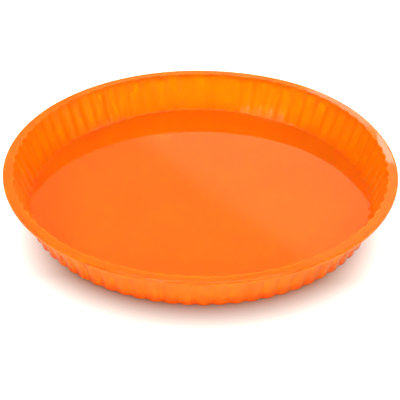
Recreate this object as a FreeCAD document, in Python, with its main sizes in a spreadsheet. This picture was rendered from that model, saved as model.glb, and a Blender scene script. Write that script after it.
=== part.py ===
import FreeCAD, Part

import math
import os

import Sketcher
from FreeCAD import Vector

# A one-piece silicone cake mould: a flat floor, a leaning wall pressed into upright flutes,
# and a plain flat rim. Millimetres, +Z up, the origin at the centre of the face it rests on.

# Driving sizes. Diameters of the fluted wall are taken midway between its crests and troughs.
SIZES = (
    ("mouth_diameter", 284.8, "mean diameter of the fluted opening, at the top of the rim"),
    ("rim_width", 7.6, "flat rim, from the mean edge of the mouth outwards"),
    ("rim_thickness", 2.6, "height of the rim's outer face"),
    ("rim_edge_width", 1.6, "width of the rounding on the rim's upper outer edge"),
    ("rim_edge_drop", 1.0, "height of the same rounding"),
    ("total_height", 31.5, "from the table to the top of the rim"),
    ("wall_draft", 19.5, "lean of the wall from upright, in degrees"),
    ("wall_thickness", 1.8, "silicone of the wall, square to its slope"),
    ("floor_thickness", 2.0, "silicone of the floor"),
    ("flute_count", 74, "flutes round the wall"),
    ("flute_depth", 2.0, "from the crest of a flute to the trough beside it"),
    ("tooth_radius", 1.8, "rounding of the teeth that stand into the cavity between flutes"),
)

doc = FreeCAD.newDocument("silicone_cake_mould")

sheet = doc.addObject("Spreadsheet::Sheet", "Sizes")
for row, (alias, value, meaning) in enumerate(SIZES, start=1):
    sheet.set(f"A{row}", alias)
    sheet.set(f"B{row}", str(value))
    sheet.set(f"C{row}", meaning)
    sheet.setAlias(f"B{row}", alias)
doc.recompute()


def size(alias):
    return float(sheet.get(alias))


wall_run = math.tan(math.radians(size("wall_draft")))
wall_across = size("wall_thickness") / math.cos(math.radians(size("wall_draft")))
flute_count = round(size("flute_count"))

# Levels of the outlines. Each is an expression of the sheet, so that its sketch follows it.
BASE = "0"
UNDER_RIM = "Sizes.total_height - Sizes.rim_thickness"
MID_RIM = "Sizes.total_height - Sizes.rim_thickness / 2"
TOP = "Sizes.total_height"
FLOOR = "Sizes.floor_thickness"

body = doc.addObject("PartDesign::Body", "Mould")
body.Label = "mould"


def attached_sketch(name, plane_role):
    sketch = body.newObject("Sketcher::SketchObject", name)
    plane = next(f for f in body.Origin.OriginFeatures if f.Role == plane_role)
    sketch.AttachmentSupport = [(plane, "")]
    sketch.MapMode = "FlatFace"
    return sketch


def arc_about(distance, azimuth, radius, middle, half_sweep):
    """An arc whose centre lies at a distance and azimuth from the mould's axis."""
    centre = Vector(distance * math.cos(azimuth), distance * math.sin(azimuth), 0)
    circle = Part.Circle(centre, Vector(0, 0, 1), radius)
    return Part.ArcOfCircle(circle, middle - half_sweep, middle + half_sweep)


def flute_arcs(crest_reach, trough_reach, trough_radius):
    """A closed ring of flutes: arcs that bulge outwards, joined tangent to smaller ones that
    turn back inwards. With no trough radius the flutes meet in a sharp groove."""
    half_pitch = math.pi / flute_count
    trough_centre = trough_reach + trough_radius
    along = trough_centre * math.cos(half_pitch)
    # The crest arc touches crest_reach and is tangent to both troughs: the two centres lie
    # the sum of the radii apart, which leaves one equation for the crest's radius.
    crest_radius = (
        crest_reach**2 + trough_centre**2 - 2 * crest_reach * along - trough_radius**2
    ) / (2 * (crest_reach - along + trough_radius))
    crest_centre = crest_reach - crest_radius
    lean = math.atan2(trough_centre * math.sin(half_pitch), along - crest_centre)
    arcs = []
    for flute in range(flute_count):
        crest = 2 * half_pitch * flute
        trough = crest + half_pitch
        arcs.append(arc_about(crest_centre, crest, crest_radius, crest, lean))
        if trough_radius > 0:
            arcs.append(
                arc_about(trough_centre, trough, trough_radius, trough + math.pi, lean - half_pitch)
            )
    return arcs


def flute_outline(name, level, outward, trough_radius):
    """A sketch of the whole fluted outline at one level. The mean line leans with the wall
    and is shifted outwards by the given amount."""
    sketch = attached_sketch(name, "XY_Plane")
    sketch.setExpression("AttachmentOffset.Base.z", f"({level}) * 1 mm")
    sketch.recompute()
    drop = size("total_height") - sketch.AttachmentOffset.Base.z
    mean = size("mouth_diameter") / 2 - drop * wall_run + outward
    swing = size("flute_depth") / 2
    sketch.addGeometry(flute_arcs(mean + swing, mean - swing, trough_radius), False)
    return sketch


def ruled_loft(kind, name, lower, upper):
    loft = body.newObject(f"PartDesign::{kind}", name)
    loft.Profile = lower
    loft.Sections = [upper]
    loft.Ruled = True
    loft.Refine = False
    body.Tip = loft
    return loft


# The outside of the wall, solid for now, from the base up into the thickness of the rim.
base_outline = flute_outline("BaseOutline", BASE, wall_across, 0)
neck_outline = flute_outline("NeckOutline", MID_RIM, wall_across, 0)
ruled_loft("AdditiveLoft", "OuterWall", base_outline, neck_outline)

# The rim: a flat ring. It starts inside the wall, where the cavity later trims it.
rim_section = attached_sketch("RimSection", "XZ_Plane")
ring_inside = size("mouth_diameter") / 2 - size("rim_width")
ring_outside = size("mouth_diameter") / 2 + size("rim_width")
top = size("total_height")
under = top - size("rim_thickness")
edge_width = size("rim_edge_width")
edge_drop = size("rim_edge_drop")
rounding = Part.Ellipse(Vector(ring_outside - edge_width, top - edge_drop, 0), edge_width, edge_drop)
UNDERSIDE, LIP_FACE, UPPER_EDGE, TOP_FACE, INNER_END, EDGE_AXIS = range(6)
rim_section.addGeometry([
    Part.LineSegment(Vector(ring_inside, under, 0), Vector(ring_outside, under, 0)),
    Part.LineSegment(Vector(ring_outside, under, 0), Vector(ring_outside, top - edge_drop, 0)),
    Part.ArcOfEllipse(rounding, 0, math.pi / 2),
    Part.LineSegment(Vector(ring_outside - edge_width, top, 0), Vector(ring_inside, top, 0)),
    Part.LineSegment(Vector(ring_inside, top, 0), Vector(ring_inside, under, 0)),
], False)
rim_section.exposeInternalGeometry(UPPER_EDGE)
START, END = 1, 2
ORIGIN = (-1, 1)
rim_section.addConstraint([
    Sketcher.Constraint("Coincident", UNDERSIDE, END, LIP_FACE, START),
    Sketcher.Constraint("Tangent", LIP_FACE, END, UPPER_EDGE, START),
    Sketcher.Constraint("Tangent", UPPER_EDGE, END, TOP_FACE, START),
    Sketcher.Constraint("Coincident", TOP_FACE, END, INNER_END, START),
    Sketcher.Constraint("Coincident", INNER_END, END, UNDERSIDE, START),
    Sketcher.Constraint("Horizontal", UNDERSIDE),
    Sketcher.Constraint("Vertical", LIP_FACE),
    Sketcher.Constraint("Horizontal", TOP_FACE),
    Sketcher.Constraint("Vertical", INNER_END),
    Sketcher.Constraint("Horizontal", EDGE_AXIS),
])


def bind(kind, name, where, value, expression):
    index = rim_section.addConstraint(Sketcher.Constraint(kind, *where, value))
    rim_section.renameConstraint(index, name)
    rim_section.setExpression(f"Constraints.{name}", f"({expression}) * 1 mm")


MOUTH_RADIUS = "Sizes.mouth_diameter / 2"
bind("DistanceX", "ring_inside", (*ORIGIN, UNDERSIDE, START), ring_inside,
     f"{MOUTH_RADIUS} - Sizes.rim_width")
bind("DistanceX", "ring_outside", (*ORIGIN, LIP_FACE, START), ring_outside,
     f"{MOUTH_RADIUS} + Sizes.rim_width")
bind("DistanceY", "underside", (*ORIGIN, UNDERSIDE, START), under, UNDER_RIM)
bind("DistanceY", "top", (*ORIGIN, TOP_FACE, END), top, TOP)
bind("DistanceX", "edge_width", (TOP_FACE, START, LIP_FACE, END), edge_width, "Sizes.rim_edge_width")
bind("DistanceY", "edge_drop", (LIP_FACE, END, TOP_FACE, START), edge_drop, "Sizes.rim_edge_drop")

rim = body.newObject("PartDesign::Revolution", "Rim")
rim.Profile = rim_section
rim.ReferenceAxis = (rim_section, ["V_Axis"])
rim.Angle = 360
rim.Refine = False
body.Tip = rim

# The cavity, with the same flutes one wall thickness further in and its teeth rounded.
tooth = size("tooth_radius")
floor_outline = flute_outline("FloorOutline", FLOOR, 0, tooth)
mouth_outline = flute_outline("MouthOutline", TOP, 0, tooth)
ruled_loft("SubtractiveLoft", "Cavity", floor_outline, mouth_outline)

doc.recompute()

for item in doc.Objects:
    if "Invalid" in item.State or "Error" in item.State:
        raise RuntimeError(f"{item.Name} failed: {item.State}")
shape = body.Shape
if shape.isNull() or not shape.isValid() or len(shape.Solids) != 1:
    raise RuntimeError(f"{body.Label} isn't one valid solid")

os.makedirs("parts", exist_ok=True)
shape.exportStep(f"parts/{body.Label}.step")
print(f"{body.Label}: {shape.Volume / 1000:.1f} cm3, {len(shape.Faces)} faces")
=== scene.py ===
import math

import bpy
import numpy as np
from mathutils import Matrix, Vector


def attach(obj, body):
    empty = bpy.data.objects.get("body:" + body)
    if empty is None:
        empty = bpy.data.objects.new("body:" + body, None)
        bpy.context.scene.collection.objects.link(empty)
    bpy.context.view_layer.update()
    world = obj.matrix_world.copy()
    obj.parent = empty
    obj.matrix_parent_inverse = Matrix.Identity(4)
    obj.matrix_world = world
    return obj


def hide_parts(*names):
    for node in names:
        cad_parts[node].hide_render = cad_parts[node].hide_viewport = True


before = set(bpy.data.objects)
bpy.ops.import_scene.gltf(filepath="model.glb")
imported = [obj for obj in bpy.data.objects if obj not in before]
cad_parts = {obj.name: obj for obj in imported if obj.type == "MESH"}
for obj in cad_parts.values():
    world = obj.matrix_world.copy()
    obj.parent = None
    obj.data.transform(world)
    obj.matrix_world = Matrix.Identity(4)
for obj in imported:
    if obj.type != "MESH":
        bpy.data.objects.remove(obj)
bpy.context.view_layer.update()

# The CAD's sizes, in metres.
MM = 0.001
FLUTES = 74
MOUTH = 142.4 * MM          # mean radius of the fluted opening, at the top
TOP = 31.5 * MM
RIM_UNDER = 28.9 * MM
RIM_RADIUS = 150.0 * MM
EDGE_WIDTH, EDGE_DROP = 1.6 * MM, 1.0 * MM      # the ellipse on the rim's upper outer edge
FLOOR = 2.0 * MM
DRAFT = math.radians(19.5)
WALL_ACROSS = 1.8 * MM / math.cos(DRAFT)        # the wall's thickness, measured level

# The flutes, a little shallower than the CAD's, because deeper ones light the wall unevenly.
SWING = 0.7 * MM            # half the flutes' depth inside
SWING_OUT = 0.75 * MM       # and outside
TOOTH = 4.0 * MM            # rounding of the teeth inside
GROOVE = 1.5 * MM           # rounding of the same teeth's grooves outside
FLANK = 2.0 * MM            # straight part of a flute's side

# Roundings too small for the CAD.
FOOT_ROUND = 1.0 * MM
MOUTH_ROUND = 0.8 * MM
LIP_ROUND = 0.4 * MM
NECK_ROUND = 1.2 * MM
HEEL_ROUND = 0.8 * MM

# What sets the real, soft mould apart from the drawn one.
SWEEP = 10.5 * MM           # height over which the wall curves in to the floor
SWEEP_LEAN = 0.05           # how much further it leans at the foot of that curve
SWEEP_AT = ((66.5, 0.24), (128.0, 0.24))        # where it leans more still: degrees, lean
SWEEP_SPAN = 9.5            # degrees
HEEL_OUT = 1.0 * MM         # the outside is a little fuller at the heel, in front
HEEL_HEIGHT = 8 * MM
SPREAD = 2.7 * MM           # how far the rim spreads at the back right

HALF_PITCH = math.pi / FLUTES
HALF_TURN = math.tan((math.pi / 2 - DRAFT) / 2)     # tangent length of a rounding, per radius

# Columns in half a flute, closer together at the tooth (1) than on the crest (0).
STEPS = 1 - np.array([0, 0.10, 0.20, 0.31, 0.43, 0.56, 0.70, 0.85])
half_flute = np.concatenate([STEPS, [0.0]]) * HALF_PITCH
one_flute = np.concatenate([-half_flute[:-1], half_flute[::-1][:-1]])
column_phase = np.tile(one_flute, FLUTES)
column_angle = column_phase + np.repeat(np.arange(FLUTES) * 2 * HALF_PITCH, len(one_flute))
COLUMNS = len(column_angle)


def fluted(mean, rounding, swing):
    """Radius of the fluted outline at every column: a crest arc, a straight flank, a trough arc."""
    away = np.abs(column_phase) * mean
    half_pitch = HALF_PITCH * mean
    lean = 2 * math.atan(2 * swing / (half_pitch + FLANK))
    crest = (half_pitch - FLANK * math.cos(lean)) / math.sin(lean) - rounding
    off = half_pitch - away
    on_crest = swing - crest + np.sqrt(np.maximum(crest**2 - away**2, 0))
    on_trough = rounding - swing - np.sqrt(np.maximum(rounding**2 - off**2, 0))
    foot_of_crest = swing - crest * (1 - math.cos(lean))
    on_flank = foot_of_crest - (away - crest * math.sin(lean)) * math.tan(lean)
    shape = np.where(away < crest * math.sin(lean), on_crest,
                     np.where(off < rounding * math.sin(lean), on_trough, on_flank))
    return mean + shape


run = math.tan(DRAFT)
more_sweep = sum(lean * np.exp(-((np.degrees(column_angle) - place) / SWEEP_SPAN)**2)
                 for place, lean in SWEEP_AT)
toward_front = (1 - np.sin(column_angle)) / 2


def inside(z):
    """Mean radius of the wall's inside: straight, with a slight sweep into the floor."""
    low = max(FLOOR + SWEEP - z, 0)
    return MOUTH - (TOP - z) * run - SWEEP_LEAN * low**2 / (2 * SWEEP)


def swept(z):
    """How much further in the wall is where it sweeps more, at every column."""
    return more_sweep * max(FLOOR + SWEEP - z, 0)**2 / (2 * SWEEP)


def drawn_in(z):
    """The outside follows that sweep, and is fuller at the heel in front."""
    return swept(max(z, FLOOR)) - HEEL_OUT * toward_front * max(1 - z / HEEL_HEIGHT, 0)**1.5


def arc(radius, centre_r, centre_z, start, end, steps):
    for a in np.linspace(start, end, steps):
        yield centre_r + radius * math.cos(a), centre_z + radius * math.sin(a)


rows = []       # (radius at every column, height), from the floor's middle round to the base


def plain(radius, z):
    rows.append((np.full(COLUMNS, radius), z))


def inner(mean, z, pushed_in=0):
    rows.append((fluted(mean, TOOTH, SWING) - pushed_in, z))


def outer(mean, z, pushed_in=0):
    rows.append((fluted(mean, GROOVE, SWING_OUT) - pushed_in, z))


# A row a few tenths of a millimetre beside each rounding keeps smooth shading off the flats.

# the floor, the rounding at its edge and the inside of the wall
FOOT_LEAN = math.atan(run + SWEEP_LEAN * (1 - FOOT_ROUND / SWEEP))
foot_centre = (inside(FLOOR + FOOT_ROUND * (1 - math.sin(FOOT_LEAN)))
               - FOOT_ROUND * math.cos(FOOT_LEAN))
for r in (45, 90, 122):
    plain(r * MM, FLOOR)
inner(foot_centre - 0.6 * MM, FLOOR, swept(FLOOR))
for r, z in arc(FOOT_ROUND, foot_centre, FLOOR + FOOT_ROUND, -math.pi / 2, -FOOT_LEAN, 8):
    inner(r, z, swept(z))
for z in np.linspace(FLOOR + FOOT_ROUND, FLOOR + SWEEP, 9):
    inner(inside(z), z, swept(z))
for z in np.linspace(FLOOR + SWEEP + 3 * MM, TOP - MOUTH_ROUND - 0.4 * MM, 6):
    inner(inside(z), z)

# the mouth's edge, the top of the rim and its lip
mouth_edge = MOUTH + HALF_TURN * MOUTH_ROUND
for r, z in arc(MOUTH_ROUND, mouth_edge, TOP - MOUTH_ROUND, math.pi - DRAFT, math.pi / 2, 6):
    inner(r, z)
inner(mouth_edge + 0.35 * MM, TOP)
for r in (145.2, 146.8, 148.1):
    plain(r * MM, TOP)
for a in np.linspace(math.pi / 2, 0, 9):
    plain(RIM_RADIUS - EDGE_WIDTH * (1 - math.cos(a)), TOP - EDGE_DROP * (1 - math.sin(a)))
plain(RIM_RADIUS, TOP - EDGE_DROP - 0.2 * MM)
plain(RIM_RADIUS, RIM_UNDER + LIP_ROUND + 0.2 * MM)
for r, z in arc(LIP_ROUND, RIM_RADIUS - LIP_ROUND, RIM_UNDER + LIP_ROUND, 0, -math.pi / 2, 5):
    plain(r, z)
plain(RIM_RADIUS - LIP_ROUND - 0.3 * MM, RIM_UNDER)

# under the rim, down the outside and round the heel
neck = MOUTH + WALL_ACROSS - (TOP - RIM_UNDER) * run
outer(neck + HALF_TURN * NECK_ROUND + 0.4 * MM, RIM_UNDER)
for r, z in arc(NECK_ROUND, neck + HALF_TURN * NECK_ROUND, RIM_UNDER - NECK_ROUND,
                math.pi / 2, math.pi - DRAFT, 7):
    outer(r, z)
for z in (27.3, 22, 16, 11, 8, 6, 4.5, 3, 1.8, 1.2):
    z *= MM
    outer(MOUTH + WALL_ACROSS - (TOP - z) * run, z, drawn_in(z))
heel = MOUTH + WALL_ACROSS - TOP * run
for r, z in arc(HEEL_ROUND, heel - HALF_TURN * HEEL_ROUND, HEEL_ROUND,
                -DRAFT, -math.pi / 2, 7):
    outer(r, z, drawn_in(HEEL_ROUND))
outer(heel - HALF_TURN * HEEL_ROUND - 0.5 * MM, 0, drawn_in(HEEL_ROUND))
for r in (120, 60):
    plain(r * MM, 0)

radii = np.array([r for r, z in rows])
heights = np.array([[z] * COLUMNS for r, z in rows])
# The rim isn't quite round: it spreads a little at the back right, less towards the base.
back_right = np.where(np.abs(column_angle - math.pi / 4) < math.pi / 4,
                      np.sin(column_angle) * np.sin(2 * column_angle)**2, 0)
radii = radii + SPREAD * back_right * (heights / TOP)**1.5
points = np.stack([radii * np.cos(column_angle), radii * np.sin(column_angle), heights], axis=-1)
vertices = np.concatenate([points.reshape(-1, 3), [[0, 0, FLOOR], [0, 0, 0]]])

row, column = np.meshgrid(np.arange(len(rows) - 1), np.arange(COLUMNS), indexing="ij")
after = (column + 1) % COLUMNS
faces = np.stack([row * COLUMNS + column, (row + 1) * COLUMNS + column,
                  (row + 1) * COLUMNS + after, row * COLUMNS + after],
                 axis=-1).reshape(-1, 4).tolist()
floor_centre, base_centre = len(vertices) - 2, len(vertices) - 1
last = (len(rows) - 1) * COLUMNS
for c in range(COLUMNS):
    n = (c + 1) % COLUMNS
    faces.append((floor_centre, c, n))
    faces.append((base_centre, last + n, last + c))

mesh = bpy.data.meshes.new("silicone_mould")
mesh.from_pydata(vertices.tolist(), [], faces)
mesh.validate()
mesh.shade_smooth()
mould = bpy.data.objects.new("silicone_mould", mesh)
bpy.context.scene.collection.objects.link(mould)
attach(mould, "root")
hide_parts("mould")


class Nodes:
    """A node tree, with short calls to add and join nodes."""

    def __init__(self, tree):
        self.tree = tree
        self.tree.nodes.clear()

    def add(self, kind, **inputs):
        node = self.tree.nodes.new(kind)
        for key, value in inputs.items():
            node.inputs[key.replace("_", " ")].default_value = value
        return node

    def join(self, source, target):
        self.tree.links.new(source, target)

    def maths(self, operation, a, b):
        node = self.add("ShaderNodeMath")
        node.operation = operation
        self.join(a, node.inputs[0])
        self.join(b, node.inputs[1])
        return node.outputs[0]

    def mix(self, factor, first, second):
        node = self.add("ShaderNodeMixShader")
        self.join(factor, node.inputs[0])
        self.join(first.outputs[0], node.inputs[1])
        self.join(second.outputs[0], node.inputs[2])
        return node.outputs[0]


def material(name):
    made = bpy.data.materials.new(name)
    made.use_nodes = True
    return made, Nodes(made.node_tree)


def silicone():
    """Soft orange silicone: light scatters deep in it, and its surface is nearly a mirror."""
    made, n = material("silicone")
    out = n.add("ShaderNodeOutputMaterial")
    shader = n.add("ShaderNodeBsdfPrincipled", Roughness=0.12, IOR=1.41, Subsurface_Weight=1.0,
                   Subsurface_Scale=0.003, Specular_IOR_Level=0.35)
    shader.inputs["Subsurface Radius"].default_value = (1.0, 3.0, 0.3)
    n.join(shader.outputs[0], out.inputs["Surface"])
    where = n.add("ShaderNodeTexCoord").outputs["Object"]

    def noise(scale, detail):
        node = n.add("ShaderNodeTexNoise", Scale=scale, Detail=detail)
        n.join(where, node.inputs["Vector"])
        return node.outputs["Fac"]

    colour = n.add("ShaderNodeValToRGB")
    colour.color_ramp.elements[0].position = 0.3
    colour.color_ramp.elements[0].color = (0.98, 0.138, 0.001, 1)
    colour.color_ramp.elements[1].position = 0.7
    colour.color_ramp.elements[1].color = (0.98, 0.150, 0.002, 1)
    n.join(noise(14.0, 2.0), colour.inputs["Fac"])
    n.join(colour.outputs["Color"], shader.inputs["Base Color"])

    gloss = n.add("ShaderNodeMapRange", To_Min=0.015, To_Max=0.035)
    n.join(noise(40.0, 4.0), gloss.inputs["Value"])
    n.join(gloss.outputs["Result"], shader.inputs["Roughness"])

    sag = n.add("ShaderNodeBump", Strength=0.12, Distance=0.0006)
    n.join(noise(16.0, 1.0), sag.inputs["Height"])
    grain = n.add("ShaderNodeBump", Strength=0.02, Distance=0.0001)
    n.join(noise(700.0, 2.0), grain.inputs["Height"])
    n.join(sag.outputs["Normal"], grain.inputs["Normal"])
    n.join(grain.outputs["Normal"], shader.inputs["Normal"])
    return made


# The floor's glow is painted light: it rises from nothing at the mould's base to full white a few
# centimetres out, so this ramp, not the lamps, paints where the mould's shadow fades out.
GLOW_FROM, GLOW_FULL = 133 * MM, 162 * MM       # from the mould's middle, in front of it
BESIDE_FROM, BESIDE_FULL = -105 * MM, -30 * MM  # Y over which the glow moves closer
BESIDE = 22 * MM                                # and how much closer it comes


def studio_floor():
    """A pale floor. To the camera and in reflections it glows white away from the mould, a painted
    glow whose start paints where the mould's shadow fades out. Close to the mould it dims to its
    own lit and shadowed colour, which for these rays is a painted shade: darker and warmer than the
    colour it lights with, standing in for the orange light the silicone casts."""
    made, n = material("studio_floor")
    out = n.add("ShaderNodeOutputMaterial")
    rays = n.add("ShaderNodeLightPath").outputs
    seen = n.maths("MAXIMUM", rays["Is Camera Ray"], rays["Is Glossy Ray"])
    seen = n.maths("MAXIMUM", seen, rays["Is Transmission Ray"])
    lights = n.add("ShaderNodeBsdfDiffuse", Color=(0.82, 0.81, 0.80, 1))
    # Painted shade: what the camera and reflections see is darker and warmer than the floor's
    # lighting colour, a painted orange cast for light through the silicone.
    painted_shade = n.add("ShaderNodeBsdfDiffuse", Color=(0.46, 0.37, 0.26, 1))

    where = n.add("ShaderNodeTexCoord").outputs["Object"]
    away = n.add("ShaderNodeVectorMath")
    away.operation = "LENGTH"
    n.join(where, away.inputs[0])
    across = n.add("ShaderNodeSeparateXYZ")
    n.join(where, across.inputs[0])
    beside = n.add("ShaderNodeMapRange", From_Min=BESIDE_FROM, From_Max=BESIDE_FULL,
                   To_Min=0.0, To_Max=BESIDE)
    n.join(across.outputs["Y"], beside.inputs["Value"])
    reach = n.maths("ADD", away.outputs["Value"], beside.outputs["Result"])
    white = n.add("ShaderNodeMapRange", From_Min=GLOW_FROM, From_Max=GLOW_FULL,
                  To_Min=0.0, To_Max=1.0)
    n.join(reach, white.inputs["Value"])
    # painted glow: fades the lamps' shadow into white at a set distance, closer in at the sides
    glow = n.add("ShaderNodeEmission", Color=(1, 1, 1, 1))
    n.join(white.outputs["Result"], glow.inputs["Strength"])
    both = n.add("ShaderNodeAddShader")
    n.join(painted_shade.outputs[0], both.inputs[0])
    n.join(glow.outputs[0], both.inputs[1])
    n.join(n.mix(seen, lights, both), out.inputs["Surface"])
    return made


mesh.materials.append(silicone())

bpy.ops.mesh.primitive_plane_add(size=12)
floor = bpy.context.object
floor.name = "studio_floor"
floor.location.z = -0.2 * MM
floor.data.materials.append(studio_floor())

# A soft studio: dim on the camera's side, brighter behind, with a pale screen low at the back
# whose slanting edge shows in the mould's floor. The camera itself sees plain white.
world = bpy.data.worlds.new("studio")
bpy.context.scene.world = world
world.use_nodes = True
sky = Nodes(world.node_tree)
sky_out = sky.add("ShaderNodeOutputWorld")
direction = sky.add("ShaderNodeTexCoord").outputs["Generated"]


def dark_to_bright(across, softness, dark, bright, at=0.0):
    """Brightness by direction, from how far the direction leans towards a given one."""
    dot = sky.add("ShaderNodeVectorMath")
    dot.operation = "DOT_PRODUCT"
    dot.inputs[1].default_value = across
    sky.join(direction, dot.inputs[0])
    level = sky.add("ShaderNodeMapRange", From_Min=at - softness, From_Max=at + softness,
                    To_Min=dark, To_Max=bright)
    level.interpolation_type = "SMOOTHSTEP"
    sky.join(dot.outputs["Value"], level.inputs["Value"])
    return level.outputs["Result"]


SCREEN_TOWARD = (0.581, 0.454, -0.676)      # square to the screen's slanting edge
SKYLINE = math.radians(29.6)                # the sky is dimmer below this height
EDGE = 0.012                                # half the softness of both edges

behind = dark_to_bright((0, 1, 0), 0.45, 0.09, 0.76)
screen = dark_to_bright(SCREEN_TOWARD, EDGE, 0.0, 0.80)
horizon = dark_to_bright((0, 0, 1), EDGE, 0.55, 1.0, math.sin(SKYLINE))
lit_sky = sky.add("ShaderNodeBackground", Color=(1, 1, 0.5, 1))
sky.join(sky.maths("MULTIPLY", sky.maths("ADD", behind, screen), horizon),
         lit_sky.inputs["Strength"])
white_sky = sky.add("ShaderNodeBackground", Color=(1, 1, 1, 1), Strength=1.0)
camera_ray = sky.add("ShaderNodeLightPath").outputs["Is Camera Ray"]
sky.join(sky.mix(camera_ray, lit_sky, white_sky), sky_out.inputs["Surface"])


def softbox(name, place, aim, width, height, watts, mirrored=True):
    """A rectangular lamp. One that isn't mirrored lights the silicone without a veil over it."""
    lamp = bpy.data.lights.new(name, "AREA")
    lamp.shape = "RECTANGLE"
    lamp.size, lamp.size_y = width, height
    lamp.energy = watts
    box = bpy.data.objects.new(name, lamp)
    box.location = place
    box.rotation_mode = "QUATERNION"
    box.rotation_quaternion = (Vector(aim) - Vector(place)).to_track_quat("-Z", "Y")
    box.visible_glossy = mirrored
    bpy.context.scene.collection.objects.link(box)


# The mould's floor mirrors the first three: key and key_right as white patches in views from
# behind, near azimuths 158 and 246, and top as a paler half in views from straight above.
MIDDLE = (0, 0, 0)
BACK_WALL = (0, 0.1, 0)
RIGHT_RIM = (0.14, 0.03, TOP)
softbox("top", (0.05, 0.35, 1.3), MIDDLE, 0.9, 0.6, 7.0)
softbox("key", (-0.56, -1.39, 0.86), BACK_WALL, 0.26, 0.60, 6.2)
softbox("key_right", (1.40, -0.62, 0.80), BACK_WALL, 0.30, 0.50, 2.8)
softbox("rim_strip", (0.353, 1.602, 0.882), RIGHT_RIM, 0.25, 0.082, 0.148)
softbox("rim_spot", (0.465, 1.55, 0.935), RIGHT_RIM, 0.12, 0.12, 0.20)
softbox("back", (0, 1.6, 0.35), MIDDLE, 1.2, 0.4, 24, mirrored=False)
softbox("front", (0, -1.35, 0.85), MIDDLE, 1.2, 0.5, 1.0, mirrored=False)
softbox("low_front", (0, -1.6, 0.16), MIDDLE, 1.0, 0.25, 8, mirrored=False)
softbox("left", (-1.15, 0.2, 0.95), MIDDLE, 0.8, 0.5, 5.2, mirrored=False)
softbox("right", (1.15, 0.2, 0.95), MIDDLE, 0.8, 0.5, 2.0, mirrored=False)

# The camera, fitted to the photograph.
FOCAL_PX = 1064.94
FRAME_PX = 400
SENSOR = 36                     # millimetres
DISTANCE = 827.915 * MM
ELEVATION = math.radians(34.304)
ROLL = math.radians(0.734)
LOOK_AT = Vector((-0.106 * MM, -7.459 * MM, 0))
TURN = math.radians(0.919)      # lines the near flutes up with the photograph's

turn = Matrix.Rotation(TURN, 3, "Z")
back = turn @ Vector((0, -math.cos(ELEVATION), math.sin(ELEVATION)))
flat_right = turn @ Vector((1, 0, 0))
flat_up = back.cross(flat_right)
right = math.cos(ROLL) * flat_right + math.sin(ROLL) * flat_up
up = back.cross(right)
lens = bpy.data.cameras.new("camera")
lens.sensor_width = SENSOR
lens.lens = FOCAL_PX / FRAME_PX * SENSOR
lens.clip_start, lens.clip_end = 0.01, 50
camera = bpy.data.objects.new("camera", lens)
placed = Matrix((right, up, back)).transposed().to_4x4()
placed.translation = turn @ LOOK_AT + back * DISTANCE
camera.matrix_world = placed
bpy.context.scene.collection.objects.link(camera)
bpy.context.scene.camera = camera
bpy.context.scene.view_settings.view_transform = "Standard"
